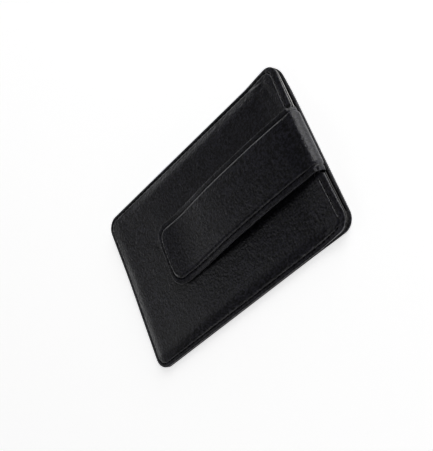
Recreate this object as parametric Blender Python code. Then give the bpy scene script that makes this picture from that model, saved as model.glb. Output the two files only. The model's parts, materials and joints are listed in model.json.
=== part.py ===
"""A slim leather card case with a leather-covered spring money clip on its front.

The case lies on its back panel: +X runs along its length towards the open mouth, +Y across its
width and +Z out of the front panel, where the clip's arm lies. The origin is the centre of the
back face. A strip of spring steel is bent into a hairpin: its fixed leg lies inside the front
wall, its bend rolls over the mouth, and its arm, covered in leather, presses on the front panel.
The arm turns about the centre of the bend. All values are in metres.
"""

import math

import bmesh
import bpy

# The case's outline.
CASE_LENGTH = 0.108
CASE_WIDTH = 0.070
CORNER_RADIUS = 0.0055

# The case's layers, each with the film of glue that parts it from the next.
GLUE = 0.00005
PANEL_LEATHER = 0.00075
BACK_BOARD = 0.00025
FRONT_BOARD = 0.00045
LINING = 0.0002
FACING = 0.00035
WELT = 0.001

# How far the inner layers stay in from the case's edge.
BOARD_INSET = 0.002
LINING_INSET = 0.0012
WELT_INSET = 0.0003
WELT_WIDTH = 0.006
FACING_INSET = 0.0002
FACING_DEPTH = 0.014

# The seam: a thread sunk in a groove round each panel, close to the three sewn sides.
SEAM_INSET = 0.0015
SEAM_MOUTH_INSET = 0.0026
THREAD_RADIUS = 0.0002
GROOVE_WIDTH = 0.0006
GROOVE_DEPTH = 0.0005
GROOVE_CUT_OVER = 0.001
THREAD_SINK = 0.00027
THREAD_STEP = 0.008
SEAM_TO_CLIP = 0.001

# The spring strip.
STEEL = 0.00045
STEEL_HALF_WIDTH = 0.010
BEND_RADIUS = 0.002125
BEND_X = CASE_LENGTH / 2 - 0.0015
LEG_LENGTH = 0.0575
LEG_CORNER = 0.003
LEG_CLEARANCE = 0.0003
LEG_STRAIGHT = 0.010
LEG_BEND_END = -10.0
ARM_BEND_START = 15.0

# The leather on the clip.
CLIP_LEATHER = 0.0006
CLIP_LINING = 0.0005
PADDING = 0.0004
TUCK_DEPTH = 0.008
TUCK_BEND_END = -15.0
COVER_BEND_START = 10.0
CLIP_HALF_WIDTH = 0.0135
CLIP_GAP = 0.00035
ARM_CORNER = 0.006
RIM_WIDTH = 0.0022
SHOULDER_WIDTH = 0.0011
ARM_THREAD_RADIUS = 0.00018
ARM_THREAD_START = BEND_X - 0.003
ARM_THREAD_STEP = 0.006

# The angles of the bend between which the cover's flat edge sinks beside the steel.
RIM_BEND_START = -85.0
RIM_BEND_FULL = -45.0

# Where the padding under the arm's cover begins to lift it, and where it is full.
CREST_START = BEND_X - 0.0015
CREST_FULL = BEND_X - 0.0065
TIP_X = -0.0265

# Stations along the arm at which its sheets have rows.
ARM_STATIONS_MM = (50, 46, 40, 32, 24, 16, 10, 5, 0, -5, -9, -13, -17)
STATION_GAP = 0.0005
SLOPE_STEP = 0.0002
BEND_STEP_DEGREES = 14
ARC_STEPS = 6
TIP_ROW_SHARE = 0.3
LEAST_RADIUS = 0.0008


def layer_levels():
    """The lower and upper level of each layer of the case."""
    levels = {}
    low = 0.0
    stack = (
        ("back_leather", PANEL_LEATHER),
        ("back_board", BACK_BOARD),
        ("back_facing", FACING),
        ("welt", WELT),
        ("front_facing", FACING),
        ("front_board", FRONT_BOARD),
        ("front_leather", PANEL_LEATHER),
    )
    for layer, thickness in stack:
        levels[layer] = (low, low + thickness)
        low += thickness + GLUE
    back = levels["back_facing"][0]
    front = levels["front_facing"][1]
    levels["back_lining"] = (back, back + LINING)
    levels["front_lining"] = (front - LINING, front)
    return levels


LEVELS = layer_levels()
LEG_Z = sum(LEVELS["front_board"]) / 2
BEND_Z = LEG_Z + BEND_RADIUS
CASE_TOP = LEVELS["front_leather"][1]

# The arm's middle line from the bend to the tip: an arch, a dip that grips, and a lifted tip.
ARM_LINE = (
    (BEND_X, BEND_Z + BEND_RADIUS),
    (0.033, 0.00785),
    (0.010, 0.00735),
    (0.000, 0.00655),
    (-0.012, 0.00543),
    (-0.020, 0.00570),
    (TIP_X, 0.00650),
)


def clear_scene():
    for obj in list(bpy.data.objects):
        bpy.data.objects.remove(obj, do_unlink=True)


def make_material(name, colour, roughness, metallic=0.0):
    material = bpy.data.materials.new(name)
    material.use_nodes = True
    shader = material.node_tree.nodes["Principled BSDF"]
    shader.inputs["Base Color"].default_value = (*colour, 1.0)
    shader.inputs["Roughness"].default_value = roughness
    shader.inputs["Metallic"].default_value = metallic
    return material


def place(name, mesh, material, parent):
    """Adds a mesh given in world space as an object whose origin is its parent's."""
    obj = bpy.data.objects.new(name, mesh)
    bpy.context.scene.collection.objects.link(obj)
    obj.data.materials.append(material)
    obj.parent = parent
    obj.matrix_parent_inverse = parent.matrix_world.inverted()
    return obj


def arc(centre_x, centre_y, radius, start, end):
    """Points on an arc from one angle to the other, in degrees."""
    points = []
    for step in range(ARC_STEPS + 1):
        angle = math.radians(start + (end - start) * step / ARC_STEPS)
        points.append((centre_x + radius * math.cos(angle), centre_y + radius * math.sin(angle)))
    return points


def case_path(inset, mouth_inset=None):
    """The case's rounded outline, set in, from the mouth's +Y corner round to its -Y corner."""
    if mouth_inset is None:
        mouth_inset = inset
    radius = max(CORNER_RADIUS - inset, LEAST_RADIUS)
    mouth = CASE_LENGTH / 2 - mouth_inset - radius
    closed = -CASE_LENGTH / 2 + inset + radius
    side = CASE_WIDTH / 2 - inset - radius
    points = arc(mouth, side, radius, 0, 90)
    points += arc(closed, side, radius, 90, 180)
    points += arc(closed, -side, radius, 180, 270)
    points += arc(mouth, -side, radius, 270, 360)
    return points


def with_notch(outline, half_width, bottom_x):
    """The outline with a rectangular notch in its mouth edge, down to bottom_x."""
    mouth_x = outline[0][0]
    notch = [
        (mouth_x, -half_width),
        (bottom_x, -half_width),
        (bottom_x, half_width),
        (mouth_x, half_width),
    ]
    return outline + notch


def cut_at(outline, cut_x):
    """The part of a case outline behind cut_x, with a straight edge there."""
    half_width = max(y for _, y in outline)
    kept = [point for point in outline if point[0] < cut_x]
    return [(cut_x, half_width)] + kept + [(cut_x, -half_width)]


def extruded(outline, low, high):
    """A flat plate between two levels, from a closed outline in plan."""
    mesh = bpy.data.meshes.new("plate")
    shape = bmesh.new()
    face = shape.faces.new([shape.verts.new((x, y, low)) for x, y in outline])
    raised = bmesh.ops.extrude_face_region(shape, geom=[face])["geom"]
    for item in raised:
        if isinstance(item, bmesh.types.BMVert):
            item.co.z = high
    bmesh.ops.recalc_face_normals(shape, faces=shape.faces)
    shape.to_mesh(mesh)
    shape.free()
    return mesh


def plate(name, outline, level, material, parent):
    return place(name, extruded(outline, *LEVELS[level]), material, parent)


def ring_between(outer, inner):
    """A strip between two case paths, open where both start at the mouth."""
    return outer + inner[::-1]


def cut_groove(panel, path_outer, path_inner, low, high, parent):
    """Sinks a groove between two paths into a panel with a Boolean."""
    cutter_mesh = extruded(ring_between(path_outer, path_inner), low, high)
    cutter = bpy.data.objects.new(panel.name + "_groove_cutter", cutter_mesh)
    bpy.context.scene.collection.objects.link(cutter)
    cutter.parent = parent
    cutter.hide_render = True
    cutter.display_type = "WIRE"
    groove = panel.modifiers.new("Seam groove", "BOOLEAN")
    groove.operation = "DIFFERENCE"
    groove.object = cutter


def mouth_stops(path, half_width):
    """A case path carried on along the mouth to within half_width of its middle."""
    mouth_x = path[0][0]
    return [(mouth_x, half_width)] + path + [(mouth_x, -half_width)]


def spaced(points, step):
    """The same polyline with points added so that none are further apart than step."""
    result = [points[0]]
    for start, end in zip(points, points[1:]):
        count = max(1, math.ceil(math.dist(start, end) / step))
        for part in range(1, count + 1):
            share = part / count
            result.append(tuple(a + (b - a) * share for a, b in zip(start, end)))
    return result


def thread(name, points, radius, material, parent):
    """A plain tube along a route, closed at both ends."""
    curve = bpy.data.curves.new(name, "CURVE")
    curve.dimensions = "3D"
    curve.bevel_depth = radius
    curve.bevel_resolution = 1
    curve.use_fill_caps = True
    spline = curve.splines.new("POLY")
    spline.points.add(len(points) - 1)
    for item, point in zip(spline.points, points):
        item.co = (*point, 1.0)
    return place(name, curve, material, parent)


def blend(value, low, high):
    """0 below low, 1 above high, and a straight ramp between them."""
    return min(max((value - low) / (high - low), 0.0), 1.0)


def arm_height(x):
    """The arm's middle line as a smooth curve through its named points."""
    points = ARM_LINE
    slopes = [0.0]
    for before, after in zip(points, points[2:]):
        slopes.append((after[1] - before[1]) / (after[0] - before[0]))
    slopes.append((points[-1][1] - points[-2][1]) / (points[-1][0] - points[-2][0]))
    for index, (start, end) in enumerate(zip(points, points[1:])):
        if x >= end[0] or index == len(points) - 2:
            span = end[0] - start[0]
            t = (x - start[0]) / span
            return (
                (2 * t**3 - 3 * t**2 + 1) * start[1]
                + (t**3 - 2 * t**2 + t) * span * slopes[index]
                + (3 * t**2 - 2 * t**3) * end[1]
                + (t**3 - t**2) * span * slopes[index + 1]
            )


def leg_station(x):
    """A point on the steel's middle line along the fixed leg, and the way out of the hairpin."""
    return (x, LEG_Z), (0.0, -1.0)


def bend_station(degrees):
    angle = math.radians(degrees)
    out = (math.cos(angle), math.sin(angle))
    return (BEND_X + BEND_RADIUS * out[0], BEND_Z + BEND_RADIUS * out[1]), out


def arm_station(x):
    ahead = min(x + SLOPE_STEP, BEND_X)
    behind = x - SLOPE_STEP
    slope = (arm_height(ahead) - arm_height(behind)) / (ahead - behind)
    length = math.hypot(slope, 1.0)
    return (x, arm_height(x)), (-slope / length, 1.0 / length)


def tip_offsets(corner):
    """Distances in from a rounded tip at which the rounding needs a station."""
    return [0.0] + [corner * (1 - math.cos(math.radians(a))) for a in (22, 40, 56, 73, 90)]


def rounded_half_width(half_width, corner, depth):
    """The half width at some depth in from a tip with rounded corners."""
    if depth >= corner:
        return half_width
    return half_width - corner + math.sqrt(corner**2 - (corner - depth) ** 2)


def swept_sheet(name, stations, material, parent):
    """A closed sheet from stations of (point, way out, [(y, lower, upper), ...])."""
    mesh = bpy.data.meshes.new(name)
    shape = bmesh.new()
    lower, upper = [], []
    for (x, z), (out_x, out_z), across in stations:
        rows = ([], [])
        for y, low, high in across:
            rows[0].append(shape.verts.new((x + out_x * low, y, z + out_z * low)))
            rows[1].append(shape.verts.new((x + out_x * high, y, z + out_z * high)))
        lower.append(rows[0])
        upper.append(rows[1])
    for grid in (lower, upper):
        for row, after in zip(grid, grid[1:]):
            for i in range(len(row) - 1):
                shape.faces.new((row[i], row[i + 1], after[i + 1], after[i]))
    for low_row, high_row in ((lower[0], upper[0]), (lower[-1], upper[-1])):
        for i in range(len(low_row) - 1):
            shape.faces.new((low_row[i], low_row[i + 1], high_row[i + 1], high_row[i]))
    for end in (0, -1):
        for i in range(len(lower) - 1):
            shape.faces.new((lower[i][end], lower[i + 1][end], upper[i + 1][end], upper[i][end]))
    bmesh.ops.recalc_face_normals(shape, faces=shape.faces)
    shape.to_mesh(mesh)
    shape.free()
    return place(name, mesh, material, parent)


def even(half_width, low, high, count=2):
    """Rows of a sheet of even thickness across a half width to each side."""
    return [(half_width * (2 * i / count - 1), low, high) for i in range(count + 1)]


def cover_half_width(x, inset=0.0):
    """The half width of the arm cover's outline set in by some amount."""
    depth = max(x - TIP_X - inset, 0.0)
    return rounded_half_width(CLIP_HALF_WIDTH - inset, ARM_CORNER - inset, depth)


def distance_in(x, y):
    """How far a point of the arm cover lies in from its outline."""
    along = ARM_CORNER - (x - TIP_X)
    across = abs(y) - (CLIP_HALF_WIDTH - ARM_CORNER)
    if along > 0 and across > 0:
        return ARM_CORNER - math.hypot(along, across)
    return min(x - TIP_X, CLIP_HALF_WIDTH - abs(y))


def cover_rows(x, rim_share=1.0):
    """Rows across the clip's cover: a flat rim, a shoulder, and the middle over the steel."""
    touching = STEEL / 2 + GLUE
    crest = touching + (PADDING + GLUE) * blend(CREST_START - x, 0.0, CREST_START - CREST_FULL)
    rim = touching - (STEEL + GLUE) * rim_share
    shoulder_end = RIM_WIDTH + SHOULDER_WIDTH
    edge = cover_half_width(x)
    side = [edge]
    for inset in (RIM_WIDTH, shoulder_end):
        side.append(min(cover_half_width(x, inset), edge - TIP_ROW_SHARE * inset))
    side.append(side[-1] / 2)
    rows = []
    for y in [-y for y in side] + [0.0] + side[::-1]:
        share = blend(distance_in(x, y), RIM_WIDTH, shoulder_end)
        low = rim + (crest - rim) * share
        rows.append((y, low, low + CLIP_LEATHER))
    return rows


def arm_positions(start, end, corner):
    """Stations along the arm from start to a rounded end."""
    rounding = [end + offset for offset in tip_offsets(corner)]
    low, high = rounding[-1] + 2 * STATION_GAP, start - STATION_GAP
    body = [x / 1000 for x in ARM_STATIONS_MM if low < x / 1000 < high]
    return [start] + body + rounding[::-1]


def bend_angles(start, end):
    count = max(2, round(abs(end - start) / BEND_STEP_DEGREES))
    return [start + (end - start) * i / count for i in range(count + 1)]


def build_case(case, leather, board, fabric, thread_black):
    """The two sewn panels with their boards, linings, mouth facings and the spacer between."""
    clip_gap = CLIP_HALF_WIDTH + CLIP_GAP
    tuck_end = BEND_X - TUCK_DEPTH - LEG_CLEARANCE
    front_outline = with_notch(case_path(0.0), clip_gap, BEND_X)
    back = plate("back_leather", case_path(0.0), "back_leather", leather, case)
    front = plate("front_leather", front_outline, "front_leather", leather, case)
    plate("back_board", case_path(BOARD_INSET), "back_board", board, case)
    slot = with_notch(
        case_path(BOARD_INSET),
        STEEL_HALF_WIDTH + LEG_CLEARANCE,
        BEND_X - LEG_LENGTH - LEG_CLEARANCE,
    )
    plate("front_board", slot, "front_board", board, case)
    welt = ring_between(case_path(WELT_INSET), case_path(WELT_WIDTH))
    plate("seam_welt", welt, "welt", leather, case)
    lining_end = CASE_LENGTH / 2 - FACING_DEPTH
    lining = cut_at(case_path(LINING_INSET), lining_end - LEG_CLEARANCE)
    plate("back_lining", lining, "back_lining", fabric, case)
    plate("front_lining", lining, "front_lining", fabric, case)
    facing = [point for point in case_path(FACING_INSET) if point[0] > lining_end]
    upper = [point for point in facing if point[1] > 0]
    lower = [point for point in facing if point[1] < 0]
    side = max(y for _, y in facing)
    strip = upper + [(lining_end, side), (lining_end, -side)] + lower
    plate("back_facing", strip, "back_facing", leather, case)
    plate("front_facing", with_notch(strip, clip_gap, tuck_end), "front_facing", leather, case)
    build_seam(case, front, back, clip_gap, thread_black)


def build_seam(case, front, back, clip_gap, thread_black):
    """The grooves pressed round both panels, and the sewing thread sunk in them."""
    half = GROOVE_WIDTH / 2
    ends = clip_gap + SEAM_TO_CLIP
    outer = mouth_stops(case_path(SEAM_INSET - half, SEAM_MOUTH_INSET - half), ends)
    inner = mouth_stops(case_path(SEAM_INSET + half, SEAM_MOUTH_INSET + half), ends)
    cut_groove(front, outer, inner, CASE_TOP - GROOVE_DEPTH, CASE_TOP + GROOVE_CUT_OVER, case)
    cut_groove(back, outer, inner, -GROOVE_CUT_OVER, GROOVE_DEPTH, case)
    route = mouth_stops(case_path(SEAM_INSET, SEAM_MOUTH_INSET), ends + half)
    route = spaced(route, THREAD_STEP)
    levels = (("front_seam_thread", CASE_TOP - THREAD_SINK), ("back_seam_thread", THREAD_SINK))
    for name, level in levels:
        points = [(x, y, level) for x, y in route]
        thread(name, points, THREAD_RADIUS, thread_black, case)


def build_spring_leg(case, steel, leather):
    """The fixed half of the hairpin and the leather that tucks into the pocket under it."""
    leg_end = BEND_X - LEG_LENGTH
    stations = []
    for offset in tip_offsets(LEG_CORNER):
        half_width = rounded_half_width(STEEL_HALF_WIDTH, LEG_CORNER, offset)
        stations.append((*leg_station(leg_end + offset), even(half_width, -STEEL / 2, STEEL / 2)))
    strip = even(STEEL_HALF_WIDTH, -STEEL / 2, STEEL / 2)
    stations.append((*leg_station(BEND_X - LEG_STRAIGHT), strip))
    for degrees in bend_angles(-90.0, LEG_BEND_END):
        stations.append((*bend_station(degrees), strip))
    swept_sheet("spring_leg", stations, steel, case)

    stations = [(*leg_station(BEND_X - TUCK_DEPTH), cover_rows(BEND_X, 0.0))]
    for degrees in bend_angles(-90.0, TUCK_BEND_END):
        rim_share = blend(degrees, RIM_BEND_START, RIM_BEND_FULL)
        stations.append((*bend_station(degrees), cover_rows(BEND_X, rim_share)))
    swept_sheet("clip_tuck", stations, leather, case)


def build_arm(arm, steel, leather, foam, thread_black):
    """The moving half of the hairpin with its padding, covers and edge stitching."""
    steel_inset = RIM_WIDTH + SHOULDER_WIDTH + LEG_CLEARANCE
    steel_end = TIP_X + steel_inset
    steel_corner = ARM_CORNER - steel_inset
    strip = even(STEEL_HALF_WIDTH, -STEEL / 2, STEEL / 2)
    stations = [(*bend_station(a), strip) for a in bend_angles(ARM_BEND_START, 90.0)[:-1]]
    for x in arm_positions(BEND_X, steel_end, steel_corner):
        half_width = rounded_half_width(STEEL_HALF_WIDTH, steel_corner, x - steel_end)
        stations.append((*arm_station(x), even(half_width, -STEEL / 2, STEEL / 2)))
    swept_sheet("spring_arm", stations, steel, arm)

    low = STEEL / 2 + GLUE
    pad_end = steel_end + LEG_CLEARANCE
    stations = []
    for x in arm_positions(CREST_FULL, pad_end, steel_corner):
        half_width = rounded_half_width(STEEL_HALF_WIDTH - LEG_CLEARANCE, steel_corner, x - pad_end)
        stations.append((*arm_station(x), even(half_width, low, low + PADDING)))
    swept_sheet("arm_padding", stations, foam, arm)

    roll = cover_rows(BEND_X)
    stations = [(*bend_station(a), roll) for a in bend_angles(COVER_BEND_START, 90.0)[:-1]]
    positions = arm_positions(BEND_X, TIP_X, ARM_CORNER)
    extra = [TIP_X + RIM_WIDTH, TIP_X + RIM_WIDTH + SHOULDER_WIDTH]
    for x in sorted(set(positions + extra), reverse=True):
        stations.append((*arm_station(x), cover_rows(x)))
    swept_sheet("arm_outer_leather", stations, leather, arm)

    under = even(CLIP_HALF_WIDTH, -low - CLIP_LINING, -low)
    stations = [(*bend_station(a), under) for a in bend_angles(ARM_BEND_START, 90.0)[:-1]]
    for x in arm_positions(BEND_X, TIP_X, ARM_CORNER):
        under = even(cover_half_width(x), -low - CLIP_LINING, -low)
        stations.append((*arm_station(x), under))
    swept_sheet("arm_inner_leather", stations, leather, arm)
    build_arm_thread(arm, thread_black)


def build_arm_thread(arm, thread_black):
    """The stitching that closes the arm's cover, on its rim beside the shoulder."""
    inset = RIM_WIDTH - ARM_THREAD_RADIUS - GLUE
    corner = ARM_CORNER - inset
    level = -STEEL / 2 + CLIP_LEATHER + GLUE + ARM_THREAD_RADIUS
    side = []
    for x in arm_positions(ARM_THREAD_START, TIP_X + inset, corner):
        (mid_x, mid_z), (out_x, out_z) = arm_station(x)
        y = rounded_half_width(CLIP_HALF_WIDTH - inset, corner, x - TIP_X - inset)
        side.append((mid_x + out_x * level, y, mid_z + out_z * level))
    other = [(x, -y, z) for x, y, z in reversed(side)]
    route = spaced(side + other, ARM_THREAD_STEP)
    thread("arm_edge_thread", route, ARM_THREAD_RADIUS, thread_black, arm)


def build():
    clear_scene()
    leather = make_material("black_leather", (0.018, 0.018, 0.020), 0.5)
    board = make_material("fibre_board", (0.10, 0.075, 0.055), 0.8)
    fabric = make_material("lining_fabric", (0.022, 0.022, 0.024), 0.85)
    steel = make_material("spring_steel", (0.55, 0.56, 0.58), 0.35, metallic=1.0)
    foam = make_material("padding_foam", (0.30, 0.30, 0.31), 0.9)
    thread_black = make_material("black_thread", (0.014, 0.014, 0.015), 0.6)
    case = bpy.data.objects.new("card_case", None)
    arm = bpy.data.objects.new("clip_arm", None)
    for empty in (case, arm):
        bpy.context.scene.collection.objects.link(empty)
    arm.location = (BEND_X, 0.0, BEND_Z)
    bpy.context.view_layer.update()
    build_case(case, leather, board, fabric, thread_black)
    build_spring_leg(case, steel, leather)
    build_arm(arm, steel, leather, foam, thread_black)


build()
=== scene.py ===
"""The looks of a leather card case with a leather-covered spring money clip.

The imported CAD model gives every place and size. The flat CAD layers are replaced here by formed
leather: panels whose sewn rims are pressed thin, with a groove and stitches, and a clip cover
that runs in one piece from the pocket round the roll and along the sprung arm to its tip.
The hidden steel stays as the CAD has it. All values are in metres, but for the lists of insets,
depths and folds, which say that they are in millimetres.
"""

import json
import math

import bmesh
import bpy
import numpy as np
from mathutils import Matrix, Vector, noise


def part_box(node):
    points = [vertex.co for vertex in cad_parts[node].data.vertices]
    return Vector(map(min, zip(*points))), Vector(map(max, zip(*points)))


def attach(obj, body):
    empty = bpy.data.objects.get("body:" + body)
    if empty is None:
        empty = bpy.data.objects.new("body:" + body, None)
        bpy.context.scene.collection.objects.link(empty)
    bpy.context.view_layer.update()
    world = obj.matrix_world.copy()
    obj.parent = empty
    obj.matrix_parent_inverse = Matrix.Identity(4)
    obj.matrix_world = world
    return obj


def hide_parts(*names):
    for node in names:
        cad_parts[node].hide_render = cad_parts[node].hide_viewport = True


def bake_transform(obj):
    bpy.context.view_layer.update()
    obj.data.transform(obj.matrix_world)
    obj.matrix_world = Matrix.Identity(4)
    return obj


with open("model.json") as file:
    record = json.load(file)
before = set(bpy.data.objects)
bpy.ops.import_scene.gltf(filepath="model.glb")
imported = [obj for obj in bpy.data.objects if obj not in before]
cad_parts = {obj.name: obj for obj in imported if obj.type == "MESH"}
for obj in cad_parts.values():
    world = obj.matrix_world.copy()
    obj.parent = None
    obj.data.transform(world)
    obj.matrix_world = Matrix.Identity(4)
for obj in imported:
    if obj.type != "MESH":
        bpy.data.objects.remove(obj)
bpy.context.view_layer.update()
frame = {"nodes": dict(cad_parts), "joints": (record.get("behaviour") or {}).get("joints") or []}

MM = 0.001

# Sizes read from the frame.
HALF_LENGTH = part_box("back_leather")[1].x
HALF_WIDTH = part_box("back_leather")[1].y
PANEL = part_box("back_leather")[1].z
CASE_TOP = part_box("front_leather")[1].z
BEND_X, _, BEND_Z = frame["joints"][0]["pos_m"]
LEG_Z = (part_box("front_board")[0].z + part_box("front_board")[1].z) / 2
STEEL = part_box("front_board")[1].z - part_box("front_board")[0].z
BEND_RADIUS = BEND_Z - LEG_Z
TUCK_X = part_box("clip_tuck")[0].x
TIP_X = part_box("arm_outer_leather")[0].x
CLIP_HALF_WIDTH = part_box("arm_outer_leather")[1].y
LINING_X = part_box("front_lining")[1].x

# The case's form: its sewn rim is pressed thin and stands a little off the table.
CORNER_RADIUS = 5.5 * MM
LEAST_RADIUS = 0.7 * MM
SEAM_INSET = 1.5 * MM
SEAM_MOUTH_INSET = 2.6 * MM
RIM_TOP = 2.2 * MM
RIM_TOP_AT_MOUTH = 4.15 * MM
RIM_LIFT = 0.5 * MM
CLOSED_END_TOP = 3.5 * MM
MOUTH_BOW = 1.1 * MM
SIDE_CURL = 0.7 * MM
SIDE_RISE_REACH = 6.5 * MM
BACK_RISE = (0.8 * MM, 7.0 * MM)
BACK_SETTLING = 0.8
FILLED_RIM = (0.85 * MM, 1.1 * MM)
NOTCH_REACH = 4 * MM
NOTCH_ENDS = (CLIP_HALF_WIDTH + 0.1 * MM, CLIP_HALF_WIDTH + 0.8 * MM)
PAST_MOUTH = 0.02
CORNER_CURL = 1.3 * MM
CORNER_CURL_REACH = 9 * MM
EDGE_ROUNDING = 0.16 * MM
EDGE_ROUNDING_REACH = 0.45 * MM

# Where the form changes: from and to along X, and for the curl along Y.
CLOSED_END_RISES = (-0.048, -0.016)
RIM_OPENS = (0.036, 0.055)
MOUTH_OPENS = (0.040, 0.054)
BACK_SETTLES = (0.030, 0.052)
SIDE_CURLS = (0.004, 0.034)

# The seam's groove and stitches, and how far the leather between them stands up in the groove.
SEAM_STOP = 1.6 * MM
GROOVE_WIDTH = 0.28 * MM
GROOVE_DEPTH = 0.42 * MM
BACK_GROOVE_DEPTH = 0.36 * MM
STITCH_SLANT = 10.0
STITCH_PITCH = 2.6 * MM
STITCH_LENGTH = 1.7 * MM
STITCH_RADIUS = 0.27 * MM
PUCKER = 0.36 * MM
PUCKER_START = 0.62 * MM
PUCKER_WIDTH = 0.34 * MM

# The clip cover's form.
ARM_CORNER = 6.0 * MM
CLIP_LEATHER = 0.6 * MM
CLIP_LINING = 0.5 * MM
GLUE = 0.05 * MM
RIM_WIDTH = 2.2 * MM
WALL_WIDTH = 0.35 * MM
SHOULDER_END = 3.3 * MM
SLANT_SHARE = 0.48
RIM_DROOP = 1.0 * MM
PAD_RISE = 0.45 * MM
PAD_THICKNESS = 0.36 * MM
ARM_PUFF = 0.18 * MM
ARM_GROOVE_DEPTH = 0.24 * MM
ARM_GROOVE_WIDTH = 0.25 * MM
UNDERSIDE_SETBACK = 0.05 * MM
ARM_SEAM_INSET = RIM_WIDTH - 0.1 * MM
ARM_STITCH_PITCH = 2.3 * MM
ARM_STITCH_LENGTH = 1.9 * MM
ARM_STITCH_RADIUS = 0.17 * MM

# The painted highlight on the mouth's cut edges: how much of it is left on the -Y side, where it is
# painted weaker, and how much of the front panel's thickness, from its inside up, stays black below
# it.
HIGHLIGHT_LEFT_AT_MINUS_Y = 0.18
EDGE_SHARE_BELOW_HIGHLIGHT = 0.76

# Steps of the meshes: parts of an outline's corners, long sides and short sides, and a layer's grid.
ARC_PARTS, LONG_PARTS, SHORT_PARTS = 14, 190, 114
LAYER_GRID = 2.5 * MM

# The camera: its place, its turn in degrees and its lens in millimetres.
CAMERA_PLACE = (0.199395, -0.150026, 0.249268)
CAMERA_TURN = (5.696, 44.923, -28.800)
CAMERA_LENS = 74.18


def smooth(low, high, value):
    """0 below low, 1 above high, and an eased step between them."""
    t = np.clip((np.asarray(value, float) - low) / (high - low), 0.0, 1.0)
    return t * t * (3 - 2 * t)


def bump_at(value, centre, width):
    return np.exp(-(((np.asarray(value, float) - centre) / width) ** 2))


def waves(x, y, scale, seed):
    """Smooth noise between about -1 and 1, the same at each run."""
    flat_x, flat_y = np.ravel(x), np.ravel(y)
    values = [noise.noise(Vector((a * scale, b * scale, seed))) for a, b in zip(flat_x, flat_y)]
    return np.reshape(values, np.shape(x))


# ---------------------------------------------------------------- meshes


def loft(name, loops, material):
    """A closed mesh through closed loops of points, an array of (loops, points, 3)."""
    loops = np.asarray(loops, float)
    count, size, _ = loops.shape
    index = np.arange(count * size).reshape(count, size)
    after = np.roll(index, -1, axis=1)
    quads = np.stack([index[:-1], after[:-1], after[1:], index[1:]], axis=-1).reshape(-1, 4)
    faces = [list(map(int, quad)) for quad in quads]
    faces += [index[0][::-1].tolist(), index[-1].tolist()]
    return finished(name, loops.reshape(-1, 3), faces, material)


def finished(name, points, faces, material):
    """A smooth object from points and faces, with its faces pointing out."""
    mesh = bpy.data.meshes.new(name)
    mesh.from_pydata([tuple(p) for p in points], [], faces)
    shape = bmesh.new()
    shape.from_mesh(mesh)
    bmesh.ops.recalc_face_normals(shape, faces=shape.faces)
    shape.to_mesh(mesh)
    shape.free()
    mesh.shade_smooth()
    mesh.materials.append(material)
    obj = bpy.data.objects.new(name, mesh)
    bpy.context.scene.collection.objects.link(obj)
    return obj


def rounded_outline(low_x, high_x, half_width, low_radius, high_radius):
    """Points round a rectangle with rounded corners, from its +X +Y corner on."""
    corners = (
        (high_x - high_radius, half_width - high_radius, high_radius, 0, LONG_PARTS),
        (low_x + low_radius, half_width - low_radius, low_radius, 90, SHORT_PARTS),
        (low_x + low_radius, low_radius - half_width, low_radius, 180, LONG_PARTS),
        (high_x - high_radius, high_radius - half_width, high_radius, 270, SHORT_PARTS),
    )
    points = []
    for place, (x, y, radius, start, parts) in enumerate(corners):
        angles = np.radians(start + np.linspace(0, 90, ARC_PARTS + 1))
        turn = np.stack([x + radius * np.cos(angles), y + radius * np.sin(angles)], axis=1)
        next_x, next_y, next_radius, next_start, _ = corners[(place + 1) % 4]
        angle = math.radians(next_start)
        to = np.array(
            [next_x + next_radius * math.cos(angle), next_y + next_radius * math.sin(angle)]
        )
        share = np.linspace(0, 1, parts + 1)[1:-1, None]
        points += [turn, turn[-1] + (to - turn[-1]) * share]
    return np.concatenate(points)


def mouth_inset(inset):
    """How far a ring stands in from the mouth, where the seam keeps further from the edge."""
    if inset < SEAM_INSET:
        return inset * SEAM_MOUTH_INSET / SEAM_INSET
    return inset + SEAM_MOUTH_INSET - SEAM_INSET


def case_ring(inset):
    """The case's outline, set in."""
    radius = max(CORNER_RADIUS - inset, LEAST_RADIUS)
    mouth = HALF_LENGTH - mouth_inset(inset)
    return rounded_outline(inset - HALF_LENGTH, mouth, HALF_WIDTH - inset, radius, radius)


def inside(x, y, low_x, high_x, half_width, radius):
    """Distance in from the outline of a rounded rectangle."""
    middle, half = (low_x + high_x) / 2, (high_x - low_x) / 2
    across = np.abs(x - middle) - (half - radius)
    along = np.abs(y) - (half_width - radius)
    outer = np.hypot(np.maximum(across, 0), np.maximum(along, 0))
    return radius - outer - np.minimum(np.maximum(across, along), 0)


def edge_distance(x, y):
    return inside(x, y, -HALF_LENGTH, HALF_LENGTH, HALF_WIDTH, CORNER_RADIUS)


def sewn_distance(x, y):
    """Distance in from the three sewn sides alone."""
    return inside(x, y, -HALF_LENGTH, HALF_LENGTH + PAST_MOUTH, HALF_WIDTH, CORNER_RADIUS)


def seam_distance(x, y):
    """Distance in from the line of the seam; less than 0 on the rim outside it."""
    return inside(
        x,
        y,
        SEAM_INSET - HALF_LENGTH,
        HALF_LENGTH - SEAM_MOUTH_INSET,
        HALF_WIDTH - SEAM_INSET,
        CORNER_RADIUS - SEAM_INSET,
    )


def clip_notch(y):
    """1 across the clip, where the front wall's mouth edge stands back for the roll."""
    return 1 - smooth(*NOTCH_ENDS, np.abs(y))


def notched(points, depth, reach):
    """Draws the mouth edge back by depth across the clip, over a reach behind the mouth."""
    x, y = points[:, 0], points[:, 1]
    share = smooth(HALF_LENGTH - reach, HALF_LENGTH, x)
    points[:, 0] = x - depth * clip_notch(y) * share
    return points


# ---------------------------------------------------------------- the case


def rim_top(x):
    """The top of the sewn rim: pressed thin, and opening towards the mouth."""
    return RIM_TOP + (RIM_TOP_AT_MOUTH - RIM_TOP) * smooth(*RIM_OPENS, x)


def side_curl(y):
    """How far the +Y side of the case stands up off the table."""
    return SIDE_CURL * smooth(*SIDE_CURLS, y)


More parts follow.
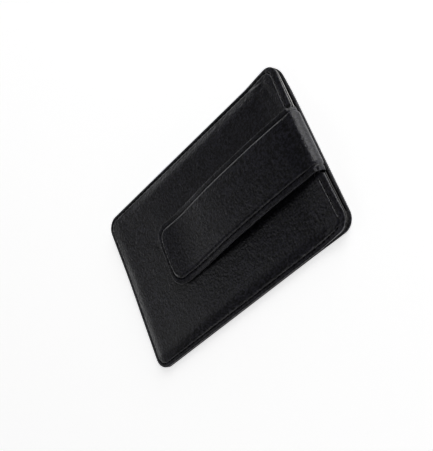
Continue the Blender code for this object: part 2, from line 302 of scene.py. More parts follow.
def front_form(x, y):
    """The front panel's height without its groove and surface marks."""
    sewn = sewn_distance(x, y)
    inner = CLOSED_END_TOP + (CASE_TOP - CLOSED_END_TOP) * smooth(*CLOSED_END_RISES, x)
    beside_clip = np.clip((np.abs(y) - CLIP_HALF_WIDTH) / (HALF_WIDTH - CLIP_HALF_WIDTH), 0, 1)
    bow = MOUTH_BOW * (1 - beside_clip**1.6) * smooth(*MOUTH_OPENS, x)
    rim = rim_top(x) + side_curl(y) * (1 - smooth(*MOUTH_OPENS, x))
    rise = 1 - (1 - np.clip((sewn - SEAM_INSET) / SIDE_RISE_REACH, 0, 1)) ** 2.4
    return rim + (inner - rim) * rise + bow


def back_form(x, y):
    """The back panel's lowest height: on the table inside, lifted a little at its rim."""
    rise = 1 - smooth(*BACK_RISE, sewn_distance(x, y))
    lift = RIM_LIFT * (1 - BACK_SETTLING * smooth(*BACK_SETTLES, x))
    corner = np.hypot(x - HALF_LENGTH, y - HALF_WIDTH)
    curl = CORNER_CURL * np.exp(-((corner / CORNER_CURL_REACH) ** 2))
    return lift * rise + curl + side_curl(y) * smooth(0, 1, rise)


def squeezed(x, y, level):
    """Where a flat CAD level comes to lie between the formed back and front."""
    low, high = back_form(x, y), front_form(x, y)
    return low + (high - low) * level / CASE_TOP


def crease(x, y, start, end, width, height):
    """A short ridge or dent along a line that fades at both ends."""
    start, end = np.array(start), np.array(end)
    line = end - start
    t = ((x - start[0]) * line[0] + (y - start[1]) * line[1]) / (line @ line)
    near = np.clip(t, 0, 1)
    gap = np.hypot(x - start[0] - near * line[0], y - start[1] - near * line[1])
    return height * np.exp(-((gap / width) ** 2)) * np.sin(np.pi * np.clip(t, 0.02, 0.98))


def edge_rounding(x, y):
    """How far a panel's outer face falls away towards its edge."""
    return EDGE_ROUNDING * (1 - smooth(0, EDGE_ROUNDING_REACH, edge_distance(x, y)))


def panel_marks(x, y):
    """The pressed groove, the lip beside it, and the leather's slow waves."""
    seam = seam_distance(x, y)
    groove = -GROOVE_DEPTH * bump_at(seam, 0, GROOVE_WIDTH)
    lip = 0.09 * MM * bump_at(seam, 0.85 * MM, 0.5 * MM)
    crown = 0.05 * MM * bump_at(seam, -0.75 * MM, 0.45 * MM)
    slow = 0.05 * MM * waves(x, y, 90.0, 3.1) + 0.02 * MM * waves(x, y, 320.0, 7.7)
    waved = slow * smooth(0.5 * MM, 4 * MM, seam)
    return groove + lip + crown - edge_rounding(x, y) + waved


def corner_creases(x, y):
    """Folds where the front panel is drawn down to the seam at its mouth corners."""
    # Start and end in metres, width and height in millimetres.
    folds = (
        ((0.0395, 0.0322), (0.0455, 0.0304), 0.55, 0.42),
        ((0.0430, 0.0300), (0.0475, 0.0294), 0.55, -0.26),
        ((0.0470, 0.0308), (0.0503, 0.0262), 0.50, 0.36),
        ((0.0462, 0.0286), (0.0480, 0.0235), 0.70, -0.20),
        ((0.0420, -0.0322), (0.0470, -0.0312), 0.50, -0.12),
        ((0.0480, -0.0300), (0.0505, -0.0262), 0.50, 0.10),
    )
    total = 0.0
    for start, end, width, height in folds:
        total = total + crease(x, y, start, end, width * MM, height * MM)
    return total


# Insets of the rings that make a panel's outer and inner face, in millimetres.
TOP_INSETS = [0.05, 0.14, 0.26, 0.42, 0.6, 0.8, 0.98, 1.1, 1.2, 1.28, 1.35, 1.42, 1.5, 1.58]
TOP_INSETS += [1.65, 1.72, 1.8, 1.9, 2.02, 2.18, 2.36, 2.58, 2.85, 3.15, 3.5, 3.9, 4.35, 4.85]
TOP_INSETS += [5.4, 6.0, 6.7, 7.4, 8.2] + list(np.arange(9.0, 32.6, 0.95))
PLAIN_INSETS = [0.3, 0.9, 1.15, 1.5, 2.2, 3.2, 4.2, 5.5, 7.0, 9.0, 12.0, 16.0, 21.0, 27.0, 32.0]


def panel(name, outer, inner, material, notch=0.0):
    """A leather panel from the face glued down inside, round its edge, to the face that shows.

    outer and inner give a height for x and y.
    """
    rings = []
    for inset in PLAIN_INSETS[::-1]:
        ring = case_ring(inset * MM)
        rings.append(np.column_stack([ring, inner(*ring.T)]))
    for inset, share in ((0.1, 0.06), (0.0, 0.25), (0.0, 0.5), (0.0, 0.72), (0.0, 0.88)):
        ring = case_ring(inset * MM)
        low, high = inner(*ring.T), outer(*ring.T)
        rings.append(np.column_stack([ring, low + (high - low) * share]))
    for inset in TOP_INSETS:
        ring = case_ring(inset * MM)
        rings.append(np.column_stack([ring, outer(*ring.T)]))
    if notch:
        rings = [notched(ring, notch, NOTCH_REACH) for ring in rings]
    return loft(name, rings, material)


def filled_edge(x, y, plain, at_facing, at_welt):
    """A panel's inner level, thicker at the sewn edge so that it meets the welt or facing."""
    near_mouth = smooth(LINING_X, LINING_X + 0.3 * MM, x)
    level = at_welt + (at_facing - at_welt) * near_mouth
    share = 1 - smooth(*FILLED_RIM, sewn_distance(x, y))
    return plain + (level - plain) * share


def front_inside(x, y):
    facing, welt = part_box("front_facing")[1].z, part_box("seam_welt")[1].z
    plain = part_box("front_leather")[0].z
    return squeezed(x, y, filled_edge(x, y, plain, facing + GLUE, welt + GLUE))


def back_inside(x, y):
    facing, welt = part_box("back_facing")[0].z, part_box("seam_welt")[0].z
    return squeezed(x, y, filled_edge(x, y, PANEL, facing - GLUE, welt - GLUE))


def front_surface(x, y):
    return front_form(x, y) + panel_marks(x, y) + corner_creases(x, y)


def pucker(x, y, places):
    """How far the leather stands up in the groove, between the stitches at the given places."""
    x, y = np.asarray(x, float), np.asarray(y, float)
    gap = np.hypot(x[..., None] - places[:, 0], y[..., None] - places[:, 1]).min(axis=-1)
    rise = PUCKER * smooth(PUCKER_START, STITCH_PITCH / 2, gap)
    return rise * bump_at(seam_distance(x, y), 0, PUCKER_WIDTH)


def back_surface(x, y):
    """The back panel's outer face, with its own groove and slow waves."""
    seam = seam_distance(x, y)
    groove = BACK_GROOVE_DEPTH * bump_at(seam, 0, GROOVE_WIDTH)
    slow = 0.03 * MM * (1 + waves(x, y, 110.0, 5.3)) * smooth(0.5 * MM, 4 * MM, seam)
    return back_form(x, y) + groove + edge_rounding(x, y) + slow


def cut_to_grid(mesh, step):
    """Adds points to a flat CAD layer, so that it can be formed."""
    shape = bmesh.new()
    shape.from_mesh(mesh)
    bmesh.ops.remove_doubles(shape, verts=shape.verts, dist=1e-6)
    for axis, reach in ((0, HALF_LENGTH), (1, HALF_WIDTH)):
        direction = Vector((1, 0, 0)) if axis == 0 else Vector((0, 1, 0))
        for place in np.arange(-reach + step / 2, reach, step):
            bmesh.ops.bisect_plane(
                shape,
                geom=shape.verts[:] + shape.edges[:] + shape.faces[:],
                plane_co=direction * place,
                plane_no=direction,
            )
    bmesh.ops.recalc_face_normals(shape, faces=shape.faces)
    shape.to_mesh(mesh)
    shape.free()


def formed_layer(name, node, material, bevel=0.0):
    """A flat CAD layer of the case, laid between the formed panels."""
    mesh = frame["nodes"][node].data.copy()
    mesh.name = name
    cut_to_grid(mesh, LAYER_GRID)
    co = np.array([v.co for v in mesh.vertices])
    co[:, 2] = squeezed(*co.T)
    mesh.vertices.foreach_set("co", co.ravel())
    mesh.materials.clear()
    mesh.materials.append(material)
    obj = bpy.data.objects.new(name, mesh)
    bpy.context.scene.collection.objects.link(obj)
    if bevel:
        rounding = obj.modifiers.new("Edge", "BEVEL")
        rounding.width = bevel
        rounding.segments = 2
        rounding.limit_method = "ANGLE"
        rounding.angle_limit = math.radians(60)
    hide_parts(node)
    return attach(obj, "case")


def resampled(points, pitch):
    """Evenly spaced places along a route, with the direction of the route at each."""
    steps = np.linalg.norm(np.diff(points, axis=0), axis=1)
    length = np.concatenate([[0], np.cumsum(steps)])
    count = int(length[-1] // pitch)
    places = (np.arange(count) + 0.5) * length[-1] / count
    nudge = 0.2 * MM

    def along(lengths):
        return np.column_stack([np.interp(lengths, length, points[:, i]) for i in range(3)])

    direction = along(places + nudge) - along(places - nudge)
    direction /= np.linalg.norm(direction, axis=1)[:, None]
    return along(places), direction


def stitches(name, route, up, material, pitch, length, radius):
    """A row of single stitches along a route; each dips into the leather at its ends."""
    places, along = resampled(route, pitch)
    if callable(up):
        out = up(places)
    else:
        out = np.tile(np.array(up, float), (len(places), 1))
    across = np.cross(out, along)
    across /= np.linalg.norm(across, axis=1)[:, None]
    turn = math.radians(STITCH_SLANT)
    lean = along * math.cos(turn) + across * math.sin(turn)
    side = across * math.cos(turn) - along * math.sin(turn)
    sides, parts = 8, 9
    angles = np.linspace(0, 2 * math.pi, sides, endpoint=False)
    points, faces = [], []
    for place, forward, sideways, upward in zip(places, lean, side, out):
        base = len(points)
        for part in range(parts):
            t = part / (parts - 1) * 2 - 1
            swell = radius * max(1 - abs(t) ** 5, 0.05) ** 0.5
            sink = radius * 2.4 * abs(t) ** 3
            centre = place + forward * (t * length / 2) - upward * sink
            for angle in angles:
                ring = sideways * math.cos(angle) + upward * math.sin(angle)
                points.append(centre + ring * swell)
        for part in range(parts - 1):
            for s in range(sides):
                a = base + part * sides + s
                b = base + part * sides + (s + 1) % sides
                faces.append((a, b, b + sides, a + sides))
        faces.append(tuple(range(base, base + sides))[::-1])
        last = base + (parts - 1) * sides
        faces.append(tuple(range(last, last + sides)))
    return finished(name, points, faces, material)


def seam_route(height):
    """The seam's line round a panel, from one side of the clip to the other."""
    ring = case_ring(SEAM_INSET)
    start = CLIP_HALF_WIDTH + SEAM_STOP
    upper = np.array([[ring[0][0], y] for y in np.linspace(start, ring[0][1], 20)[:-1]])
    lower = upper[::-1] * [1, -1]
    arcs = ring[: len(ring) - SHORT_PARTS + 1]
    flat = np.concatenate([upper, arcs, lower])
    return np.column_stack([flat, height(*flat.T)])


# ---------------------------------------------------------------- the clip


def arm_middle():
    """The steel's middle line along the arm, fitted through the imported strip."""
    co = np.array([v.co for v in frame["nodes"]["spring_arm"].data.vertices])
    co = co[co[:, 0] <= BEND_X + 1e-6]
    co = co[co[:, 2] > BEND_Z - 2.2 * MM]
    return np.polynomial.Polynomial.fit(co[:, 0], co[:, 2], 9)


ARM_CURVE = arm_middle()
ARM_STEP = BEND_Z + BEND_RADIUS - ARM_CURVE(BEND_X)
ARM_SLOPE = ARM_CURVE.deriv()(BEND_X)


def arm_height(x):
    """The middle line's height, drawn level with the top of the bend where they meet."""
    ease = 1 - smooth(BEND_X - 8 * MM, BEND_X, x)
    join = 1 - ease
    return ARM_CURVE(x) + (ARM_STEP - ARM_SLOPE * (x - BEND_X)) * join


def strip_station(kind, value):
    """A point on the strip's middle line and the way out of the hairpin, as (x, z) pairs."""
    if kind == "leg":
        return np.array([value, LEG_Z]), np.array([0.0, -1.0])
    if kind == "bend":
        angle = math.radians(value)
        out = np.array([math.cos(angle), math.sin(angle)])
        return np.array([BEND_X, BEND_Z]) + BEND_RADIUS * out, out
    nudge = 0.1 * MM
    ahead = min(value + nudge, BEND_X)
    slope = (arm_height(ahead) - arm_height(value - nudge)) / (ahead - value + nudge)
    return np.array([value, arm_height(value)]), np.array([-slope, 1.0]) / math.hypot(slope, 1)


def cover_half_width(x, inset=0.0):
    """The cover's half width, rounded at the tip, for its outline set in."""
    corner = ARM_CORNER - inset
    depth = np.maximum(x - TIP_X - inset, 0)
    short = np.clip(corner - depth, 0, None)
    return CLIP_HALF_WIDTH - ARM_CORNER + np.sqrt(np.maximum(corner**2 - short**2, 0))


def cover_distance(x, y):
    """Distance in from the cover's outline, stretched at the tip, where the rim is narrower."""
    along = ARM_CORNER - (x - TIP_X)
    across = np.abs(y) - (CLIP_HALF_WIDTH - ARM_CORNER)
    round_part = ARM_CORNER - np.hypot(along, across)
    flat_part = np.minimum(x - TIP_X, CLIP_HALF_WIDTH - np.abs(y))
    distance = np.where((along > 0) & (across > 0), round_part, flat_part)
    at_tip = (1 - smooth(4 * MM, 10 * MM, np.abs(y))) * (1 - smooth(3 * MM, 6 * MM, x - TIP_X))
    return distance * (1 + 0.35 * at_tip)


# Insets of the cover's rows and depths of its stations at the tip, in millimetres.
UPPER_ROWS = [0.10, 0.26, 0.5, 0.8, 1.1, 1.4, 1.62, 1.8, 1.94, 2.06, 2.16, 2.26, 2.38, 2.5, 2.62]
UPPER_ROWS += [2.75, 2.88, 3.0, 3.12, 3.26, 3.45, 3.7, 4.1, 4.7, 5.5, 6.6, 8.0, 9.6, 11.2]
LOWER_ROWS = [0.10, 0.5, 1.2, 2.0, 2.6, 3.2, 4.2, 6.5, 9.5]
TIP_DEPTHS = [0.0, 0.05, 0.14, 0.3, 0.5, 0.75, 1.0, 1.15, 1.27, 1.37, 1.46, 1.54, 1.62, 1.7, 1.8]
TIP_DEPTHS += [1.9, 2.0, 2.1, 2.2, 2.3, 2.4, 2.52, 2.66, 2.8, 2.95, 3.1, 3.25, 3.45, 3.7, 4.0]
TIP_DEPTHS += [4.35, 4.75, 5.2, 5.7, 6.2, 6.8, 7.5]


def rows_across(x, insets):
    """Places across the cover at one station, for insets from its edge in to its middle."""
    edge = cover_half_width(x)
    places = []
    for inset in insets:
        inset = inset * MM
        y = cover_half_width(x, inset) if inset < ARM_CORNER else CLIP_HALF_WIDTH - inset
        share = 0.35 + 0.65 * smooth(0, 6 * MM, x - TIP_X)
        places.append(min(y, edge - share * inset * edge / CLIP_HALF_WIDTH))
    return np.array(places)


def rim_droop(kind, value, y):
    """How far the clip's rims hang in towards the middle of the bend."""
    at_bend = 0.0
    if kind == "bend":
        at_bend = float(smooth(-30, 25, value) * (1 - smooth(60, 90, value)))
    outwards = (np.abs(y) - CLIP_HALF_WIDTH + RIM_WIDTH) / RIM_WIDTH
    return at_bend * RIM_DROOP * np.clip(outwards, 0, 1) ** 1.3


def cover_top(x, y, rim_share=1.0):
    """The cover's outer face as a height over the steel's middle line."""
    edge = cover_distance(x, y)
    on_arm = 1 - smooth(BEND_X - 7 * MM, BEND_X - 1 * MM, x)
    plain = STEEL / 2 + GLUE + CLIP_LEATHER
    rim = plain - (STEEL + GLUE) * rim_share
    crest = plain + PAD_RISE * on_arm
    wall_end = RIM_WIDTH + WALL_WIDTH
    wall = smooth(RIM_WIDTH, wall_end, edge)
    slant = 1 - (1 - np.clip((edge - wall_end) / (SHOULDER_END - wall_end), 0, 1)) ** 1.15
    level = rim + (crest - rim) * ((1 - SLANT_SHARE) * wall + SLANT_SHARE * slant)
    groove = -ARM_GROOVE_DEPTH * bump_at(edge, ARM_SEAM_INSET, ARM_GROOVE_WIDTH) * rim_share
    crown = 0.05 * MM * np.sin(np.pi * np.clip(edge / (RIM_WIDTH - 0.3 * MM), 0, 1))
    puff = ARM_PUFF * smooth(SHOULDER_END - 0.4 * MM, 8 * MM, edge) * on_arm
    slow = 0.035 * MM * waves(x, y, 130.0, 11.0) * smooth(3 * MM, 6 * MM, edge)
    return level + groove + crown * rim_share + puff + slow


def cover_loop(kind, value, thickness):
    """One closed loop round the cover's section at a station."""
    point, out = strip_station(kind, value)
    x = point[0] if kind == "arm" else BEND_X
    rim_share = 0.0 if kind == "leg" else 1.0
    if kind == "bend":
        rim_share = float(smooth(-85, -45, value))
    upper = rows_across(x, UPPER_ROWS)
    lower = rows_across(x, LOWER_ROWS)
    edge = cover_half_width(x)
    top_y = np.concatenate([upper, [0.0], -upper[::-1]])
    low_y = np.concatenate([-lower, [0.0], lower[::-1]])
    top = cover_top(np.full_like(top_y, x), top_y, rim_share) - rim_droop(kind, value, top_y)
    low = cover_top(np.full_like(low_y, x), low_y, rim_share) - rim_droop(kind, value, low_y)
    tip_depth = x - TIP_X
    rounding = 1 - smooth(0, 0.32 * MM, tip_depth) if kind == "arm" else 0.0
    edge_round = 0.12 * MM * (1 - smooth(0.0, 0.22 * MM, cover_distance(x, top_y)))
    top = top - edge_round - rounding * thickness * 0.3
    low = low - thickness + rounding * thickness * 0.3
    middle = (cover_top(np.array([x]), np.array([edge]), rim_share) - thickness * 0.5)[0]
    middle -= float(rim_droop(kind, value, edge))
    ys = np.concatenate([[edge], top_y, [-edge], low_y])
    heights = np.concatenate([[middle], top, [middle], low])
    across = point[None, :] + out[None, :] * heights[:, None]
    return np.column_stack([across[:, 0], ys, across[:, 1]])


def arm_places(first, step):
    """Stations along the arm from near the roll to the tip."""
    flat = np.arange(first, TIP_X + 8.2 * MM, -step)
    tip = TIP_X + np.array(TIP_DEPTHS[::-1]) * MM
    return np.concatenate([flat, tip])


def clip_cover(material):
    """One strip of leather from the pocket, round the roll, along the arm to its tip."""
    loops = [cover_loop("leg", x, CLIP_LEATHER) for x in np.linspace(TUCK_X, BEND_X, 9)[:-1]]
    loops += [cover_loop("bend", a, CLIP_LEATHER) for a in np.linspace(-90, 90, 61)[:-1]]
    near = np.linspace(BEND_X, BEND_X - 8 * MM, 20)
    rest = arm_places(near[-1] - 0.7 * MM, 0.7 * MM)
    loops += [cover_loop("arm", x, CLIP_LEATHER) for x in np.concatenate([near, rest])]
    return loft("clip_cover", loops, material)


def lining_loop(kind, value, half_width, low, high, tip_rounding=0.0):
    """A closed loop with rounded edges for a plain strip at a station."""
    point, out = strip_station(kind, value)
    middle, half = (low + high) / 2, (high - low) / 2 * (1 - tip_rounding)
    places = [(1.0, 0.0), (0.992, 0.6), (0.975, 0.92), (0.95, 1.0), (0.6, 1.0), (0.3, 1.0), (0, 1.0)]
    ring = [(half_width * a, middle + half * b) for a, b in places]
    ring += [(-y, h) for y, h in ring[-2::-1]]
    ring += [(y, 2 * middle - h) for y, h in ring[-2:0:-1]]
    ring = [(y, h - float(rim_droop(kind, value, y))) for y, h in ring]
    return [(point[0] + out[0] * h, y, point[1] + out[1] * h) for y, h in ring]


def clip_underside(material):
    """The leather under the arm, which starts inside the hairpin."""
    high = -STEEL / 2 - GLUE
    low = high - CLIP_LINING
    width = CLIP_HALF_WIDTH - UNDERSIDE_SETBACK
    loops = [lining_loop("bend", a, width, low, high) for a in np.linspace(15, 90, 18)[:-1]]
    for x in np.concatenate([[BEND_X], arm_places(BEND_X - 1.2 * MM, 1.2 * MM)]):
        rounding = float(0.75 * (1 - smooth(0, 0.3 * MM, x - TIP_X)))
        width = float(cover_half_width(x)) - UNDERSIDE_SETBACK
        loops.append(lining_loop("arm", x, width, low, high, rounding))
    return loft("clip_underside", loops, material)


def clip_padding(material):
    """The crowned felt pad between the spring and the arm's leather."""
    node_low, node_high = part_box("arm_padding")
    base = STEEL / 2 + GLUE / 2
    loops = []
    places = np.linspace(node_high.x, node_low.x, 60)
    for x in places:
        end = min(x - node_low.x, node_high.x - x)
        thickness = PAD_THICKNESS * float(0.25 + 0.75 * smooth(0, 3 * MM, end))
        width = node_high.y - 1.2 * MM * float(1 - smooth(0, 2.5 * MM, end))
        loops.append(lining_loop("arm", x, width, base, base + thickness))
    return loft("arm_felt_pad", loops, material)


def arm_seam_route():
    """The line of the arm's stitching, in the groove round its rim."""
    corner = ARM_CORNER - ARM_SEAM_INSET
    half_width = CLIP_HALF_WIDTH - ARM_SEAM_INSET
    start = BEND_X - 3 * MM
    end = TIP_X + ARM_SEAM_INSET
    side = [(x, half_width) for x in np.linspace(start, end + corner, 90)]
    for angle in np.linspace(0, 90, 12)[1:]:
        turn = math.radians(angle)
        x = end + corner - corner * math.sin(turn)
        side.append((x, half_width - corner + corner * math.cos(turn)))
    side += [(end, y) for y in np.linspace(half_width - corner, 0, 12)[1:]]
    side += [(x, -y) for x, y in side[-2::-1]]
    points = []
    for x, y in side:
        point, out = strip_station("arm", x)
        height = float(cover_top(np.array([x]), np.array([y]))[0]) + 0.03 * MM
        points.append((point[0] + out[0] * height, y, point[1] + out[1] * height))
    return np.array(points)


def arm_out(places):
    """The way out of the arm's cover at each place."""
    result = []
    for x, _, _ in places:
        _, out = strip_station("arm", min(x, BEND_X))
        result.append((out[0], 0.0, out[1]))
    return np.array(result)


# ---------------------------------------------------------------- materials


def new_material(name, roughness, metallic=0.0, specular=0.5):
    """A material, its nodes, links and shader, and the place on the object for its textures."""
    material = bpy.data.materials.new(name)
    material.use_nodes = True
    nodes, links = material.node_tree.nodes, material.node_tree.links
    shader = nodes["Principled BSDF"]
    shader.inputs["Roughness"].default_value = roughness
    shader.inputs["Metallic"].default_value = metallic
    shader.inputs["Specular IOR Level"].default_value = specular
    place = nodes.new("ShaderNodeTexCoord")
    return material, nodes, links, shader, place.outputs["Object"]


def noise_node(nodes, links, place, scale, detail=3.0, roughness=0.5, distortion=0.0):
    texture = nodes.new("ShaderNodeTexNoise")
    texture.inputs["Scale"].default_value = scale
    texture.inputs["Detail"].default_value = detail
    texture.inputs["Roughness"].default_value = roughness
    texture.inputs["Distortion"].default_value = distortion
    links.new(place, texture.inputs["Vector"])
    return texture.outputs["Fac"]


def ramp(nodes, links, value, low, high, first, second):
    """Maps a value onto a grey or colour between two stops."""
    node = nodes.new("ShaderNodeValToRGB")
    node.color_ramp.elements[0].position = low
    node.color_ramp.elements[1].position = high
    node.color_ramp.elements[0].color = (*first, 1)
    node.color_ramp.elements[1].color = (*second, 1)
    links.new(value, node.inputs["Fac"])
    return node.outputs["Color"]


def spread(nodes, links, value, low, high):
    """Maps a 0 to 1 texture onto a range of numbers."""
    node = nodes.new("ShaderNodeMapRange")
    node.inputs["To Min"].default_value = low
    node.inputs["To Max"].default_value = high
    links.new(value, node.inputs["Value"])
    return node.outputs["Result"]


def add_bump(nodes, links, height, distance, strength=1.0, after=None):
    node = nodes.new("ShaderNodeBump")
    node.inputs["Strength"].default_value = strength
    node.inputs["Distance"].default_value = distance
    links.new(height, node.inputs["Height"])
    if after is not None:
        links.new(after, node.inputs["Normal"])
    return node.outputs["Normal"]


def leather(name, dark, light, rough, grain, specular):
    """Fine-grained leather: folds, grains and dark pores, with slow changes of tone and sheen."""
    material, nodes, links, shader, place = new_material(name, 0.5, specular=specular)
    grains = noise_node(nodes, links, place, 900.0, detail=1.0, distortion=0.3)
    pores = noise_node(nodes, links, place, 1250.0, detail=2.0, roughness=0.6)
    folds = noise_node(nodes, links, place, 380.0, detail=4.0, roughness=0.6, distortion=0.4)
    tone = noise_node(nodes, links, place, 110.0, detail=4.0, roughness=0.55)
    shade = nodes.new("ShaderNodeMixRGB")
    shade.blend_type = "MULTIPLY"
    shade.inputs["Fac"].default_value = 1.0
    links.new(ramp(nodes, links, tone, 0.3, 0.7, dark, light), shade.inputs["Color1"])
    links.new(ramp(nodes, links, pores, 0.42, 0.58, (0.05,) * 3, (1, 1, 1)), shade.inputs["Color2"])
    links.new(shade.outputs["Color"], shader.inputs["Base Color"])
    sheen = noise_node(nodes, links, place, 260.0, roughness=0.6)
    links.new(spread(nodes, links, sheen, *rough), shader.inputs["Roughness"])
    normal = add_bump(nodes, links, folds, 0.00012, 0.35 * grain)
    normal = add_bump(nodes, links, grains, 0.00018, grain, normal)
    normal = add_bump(nodes, links, pores, 0.00018, grain, normal)
    links.new(normal, shader.inputs["Normal"])
    return material


def cloth(name, dark, light):
    """A fine twill: two crossed sets of threads."""
    material, nodes, links, shader, place = new_material(name, 0.85, specular=0.2)
    bands = []
    for turn in (45.0, -45.0):
        mapping = nodes.new("ShaderNodeMapping")
        mapping.inputs["Rotation"].default_value = (0, 0, math.radians(turn))
        links.new(place, mapping.inputs["Vector"])
        wave = nodes.new("ShaderNodeTexWave")
        wave.inputs["Scale"].default_value = 620.0
        wave.inputs["Distortion"].default_value = 0.4
        links.new(mapping.outputs["Vector"], wave.inputs["Vector"])
        bands.append(wave.outputs["Fac"])
    both = nodes.new("ShaderNodeMath")
    both.operation = "MAXIMUM"
    links.new(bands[0], both.inputs[0])
    links.new(bands[1], both.inputs[1])
    links.new(ramp(nodes, links, both.outputs[0], 0.2, 1.0, dark, light), shader.inputs["Base Color"])
    links.new(add_bump(nodes, links, both.outputs[0], 0.00005, 0.8), shader.inputs["Normal"])
    return material


def thread_material(name):
    """Waxed thread, with a fine uneven tone."""
    material, nodes, links, shader, place = new_material(name, 0.7, specular=0.2)
    flecks = noise_node(nodes, links, place, 4200.0, detail=2.0)
    colour = ramp(nodes, links, flecks, 0.3, 0.7, (0.001, 0.001, 0.001), (0.006, 0.006, 0.0066))
    links.new(colour, shader.inputs["Base Color"])
    links.new(add_bump(nodes, links, flecks, 0.00006, 0.8), shader.inputs["Normal"])
    return material


def steel_material(name):
    """Satin spring steel with marks along the strip."""
    material, nodes, links, shader, place = new_material(name, 0.35, metallic=1.0)
    mapping = nodes.new("ShaderNodeMapping")
    mapping.inputs["Scale"].default_value = (0.05, 1.0, 1.0)
    links.new(place, mapping.inputs["Vector"])
    lines = noise_node(nodes, links, mapping.outputs["Vector"], 6000.0)
    colour = ramp(nodes, links, lines, 0.3, 0.7, (0.42, 0.43, 0.45), (0.60, 0.61, 0.63))
    links.new(colour, shader.inputs["Base Color"])
    links.new(spread(nodes, links, lines, 0.25, 0.42), shader.inputs["Roughness"])
    return material


def fibre_material(name, dark, light, scale, highlight_fades_to_minus_y=False):
    """Pressed fibres: board, felt and the mouth's cut edges, whose pale colour is a painted highlight
    that may be painted brighter on the +Y side.
    """
    material, nodes, links, shader, place = new_material(name, 0.9, specular=0.2)
    fibres = noise_node(nodes, links, place, scale, detail=5.0, roughness=0.65, distortion=0.8)
    colour = ramp(nodes, links, fibres, 0.3, 0.7, dark, light)
    # Painted light: the edge highlight is painted weaker towards the -Y side.
    if highlight_fades_to_minus_y:
        parts = nodes.new("ShaderNodeSeparateXYZ")
        links.new(place, parts.inputs[0])
        highlight_fade = nodes.new("ShaderNodeMapRange")
        highlight_fade.inputs["From Min"].default_value = -CLIP_HALF_WIDTH
        highlight_fade.inputs["From Max"].default_value = CLIP_HALF_WIDTH
        highlight_fade.inputs["To Min"].default_value = HIGHLIGHT_LEFT_AT_MINUS_Y
        links.new(parts.outputs["Y"], highlight_fade.inputs["Value"])
        shade = nodes.new("ShaderNodeMixRGB")
        shade.blend_type = "MULTIPLY"
        shade.inputs["Fac"].default_value = 1.0
        links.new(colour, shade.inputs["Color1"])
        links.new(highlight_fade.outputs["Result"], shade.inputs["Color2"])
        colour = shade.outputs["Color"]
    links.new(colour, shader.inputs["Base Color"])
    links.new(add_bump(nodes, links, fibres, 0.00008, 0.7), shader.inputs["Normal"])
    return material


# ---------------------------------------------------------------- the scene


def build_stage():
    """A plain pale floor that glows like a light table."""
    bpy.ops.mesh.primitive_plane_add(size=6, location=(0, 0, -0.0002))
    floor = bpy.context.object
    floor.name = "floor"
    material, _, _, shader, _ = new_material("pale_floor", 0.9, specular=0.1)
    shader.inputs["Base Color"].default_value = (0.93, 0.93, 0.93, 1)
    shader.inputs["Emission Color"].default_value = (1, 1, 1, 1)
    shader.inputs["Emission Strength"].default_value = 0.72
    floor.data.materials.append(material)


def area_light(name, direction, distance, size, power):
    """A soft light that faces the origin from a direction."""
    light = bpy.data.lights.new(name, "AREA")
    light.energy = power
    light.shape = "RECTANGLE"
    light.size, light.size_y = size
    obj = bpy.data.objects.new(name, light)
    bpy.context.scene.collection.objects.link(obj)
    obj.location = Vector(direction).normalized() * distance
    obj.rotation_euler = obj.location.to_track_quat("Z", "Y").to_euler()


def build_light():
    """Surroundings that are white low down and dark overhead, a wide soft box and a dim one."""
    world = bpy.data.worlds.new("studio")
    world.use_nodes = True
    nodes, links = world.node_tree.nodes, world.node_tree.links
    place = nodes.new("ShaderNodeTexCoord")
    parts = nodes.new("ShaderNodeSeparateXYZ")
    links.new(place.outputs["Generated"], parts.inputs[0])
    level = nodes.new("ShaderNodeMapRange")
    level.interpolation_type = "SMOOTHSTEP"
    level.inputs["From Min"].default_value = 0.04
    level.inputs["From Max"].default_value = 0.22
    level.inputs["To Min"].default_value = 2.0
    level.inputs["To Max"].default_value = 0.05
    links.new(parts.outputs["Z"], level.inputs["Value"])
    nodes["Background"].inputs["Color"].default_value = (1, 1, 1, 1)
    links.new(level.outputs["Result"], nodes["Background"].inputs["Strength"])
    scene = bpy.context.scene
    scene.world = world
    scene.view_settings.view_transform = "Standard"
    area_light("soft_box", (0.74, 0.43, 0.44), distance=1.1, size=(0.9, 0.85), power=6.0)
    area_light("fill_box", (-0.72, 0.20, 0.66), distance=1.2, size=(0.5, 0.5), power=0.50)


def build_camera():
    camera = bpy.data.cameras.new("camera")
    camera.sensor_width = 36.0
    camera.lens = CAMERA_LENS
    obj = bpy.data.objects.new("camera", camera)
    bpy.context.scene.collection.objects.link(obj)
    obj.location = CAMERA_PLACE
    obj.rotation_euler = [math.radians(angle) for angle in CAMERA_TURN]
    camera.clip_start = 0.01
    bpy.context.scene.camera = obj


# ---------------------------------------------------------------- assembly


def dress_case(hide, highlight_edge, thread):
    """The two panels and the stitches of their seam."""
    front_seam, back_seam = seam_route(front_surface), seam_route(back_surface)
    front_places = resampled(front_seam, STITCH_PITCH)[0]
    back_places = resampled(back_seam, STITCH_PITCH)[0]

    def front_sewn(x, y):
        return front_surface(x, y) + pucker(x, y, front_places)

    def back_sewn(x, y):
        return back_surface(x, y) - pucker(x, y, back_places)

    outer = panel("front_panel", front_sewn, front_inside, hide, notch=HALF_LENGTH - BEND_X)
    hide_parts("front_leather")
    # Painted highlight along the top of the front panel's cut edge at the mouth.
    paint_mouth_edge_highlight(outer, highlight_edge, EDGE_SHARE_BELOW_HIGHLIGHT)
    back = panel("back_panel", back_sewn, back_inside, hide)
    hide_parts("back_leather")
    size = (STITCH_PITCH, STITCH_LENGTH, STITCH_RADIUS)
    front_thread = stitches("front_stitches", front_seam, (0, 0, 1), thread, *size)
    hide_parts("front_seam_thread")
    back_thread = stitches("back_stitches", back_seam, (0, 0, -1), thread, *size)
    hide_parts("back_seam_thread")
    for piece, slot in (
        (outer, "black_leather"),
        (back, "black_leather"),
        (front_thread, "black_thread"),
        (back_thread, "black_thread"),
    ):
        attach(piece, "case")


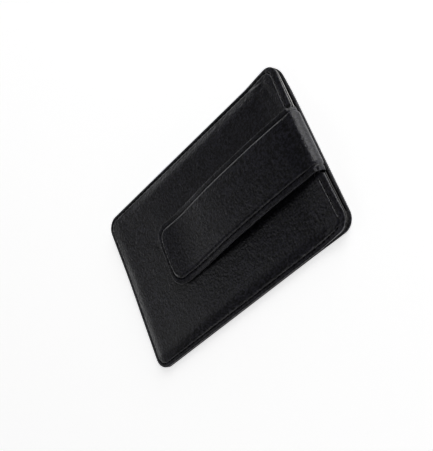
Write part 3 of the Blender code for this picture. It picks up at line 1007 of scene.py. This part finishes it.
def paint_mouth_edge_highlight(piece, material, highlight_start=0.0):
    """Paints a highlight on the cut edge of the leather at the mouth, with its own lighter material.

    Below the given share of the panel's thickness, the edge keeps the black leather without the
    painted highlight.
    """
    mesh = piece.data
    mesh.materials.append(material)
    for face in mesh.polygons:
        x, y, z = face.center
        if x < BEND_X - 0.2 * MM or abs(face.normal.z) > 0.6 or face.normal.x < 0.4:
            continue
        low, high = (float(level(x, y)) for level in (front_inside, front_surface))
        if not highlight_start or z > low + (high - low) * highlight_start:
            face.material_index = 1


def dress_inside(edge, highlight_edge, lining, board):
    """The welt, facings, linings and boards between the panels."""
    formed_layer("edge_welt", "seam_welt", edge, bevel=0.12 * MM)
    facing = formed_layer("mouth_facing_front", "front_facing", edge)
    # Painted highlight on the front facing's cut edge at the mouth.
    paint_mouth_edge_highlight(facing, highlight_edge)
    formed_layer("mouth_facing_back", "back_facing", edge, bevel=0.08 * MM)
    formed_layer("pocket_lining_front", "front_lining", lining)
    formed_layer("pocket_lining_back", "back_lining", lining)
    formed_layer("front_stiffener", "front_board", board)
    formed_layer("back_stiffener", "back_board", board)


def dress_clip(hide, thread, felt):
    """The clip's leather inside and out, its pad and its stitches."""
    cover = clip_cover(hide)
    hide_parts("arm_outer_leather", "clip_tuck")
    under = clip_underside(hide)
    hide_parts("arm_inner_leather")
    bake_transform(cover)
    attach(under, "arm")
    pad = clip_padding(felt)
    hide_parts("arm_padding")
    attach(pad, "arm")
    size = (ARM_STITCH_PITCH, ARM_STITCH_LENGTH, ARM_STITCH_RADIUS)
    sewing = stitches("arm_stitches", arm_seam_route(), arm_out, thread, *size)
    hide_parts("arm_edge_thread")
    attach(sewing, "arm")


def paint_hidden_nodes(steel):
    """The CAD's own spring keeps its shape and gets a finished material."""
    for node in ("spring_leg", "spring_arm"):
        obj = frame["nodes"][node]
        obj.data.materials.clear()
        obj.data.materials.append(steel)


hide = leather(
    "black_hide",
    dark=(0.017, 0.0166, 0.0240),
    light=(0.030, 0.0293, 0.0415),
    rough=(0.27, 0.36),
    grain=1.0,
    specular=0.5,
)
edge_hide = leather(
    "edge_hide",
    dark=(0.006, 0.006, 0.0066),
    light=(0.016, 0.016, 0.0176),
    rough=(0.55, 0.7),
    grain=0.7,
    specular=0.12,
)
# Colours of the painted highlight on the mouth's cut edges, painted weaker towards the -Y side.
highlight_dim, highlight_bright = (0.24, 0.235, 0.23), (0.55, 0.54, 0.53)
edge_highlight_paint = fibre_material("bare_leather_edge", highlight_dim, highlight_bright, 2500.0, highlight_fades_to_minus_y=True)
twill = cloth("lining_twill", (0.006, 0.006, 0.007), (0.022, 0.022, 0.024))
waxed = thread_material("waxed_thread")
spring = steel_material("spring_steel")
board = fibre_material("fibre_board_skin", (0.06, 0.045, 0.033), (0.13, 0.10, 0.075), 900.0)
felt = fibre_material("felt_skin", (0.20, 0.20, 0.21), (0.34, 0.34, 0.35), 1500.0)

dress_case(hide, edge_highlight_paint, waxed)
dress_inside(edge_hide, edge_highlight_paint, twill, board)
dress_clip(hide, waxed, felt)
paint_hidden_nodes(spring)
build_stage()
build_light()
build_camera()
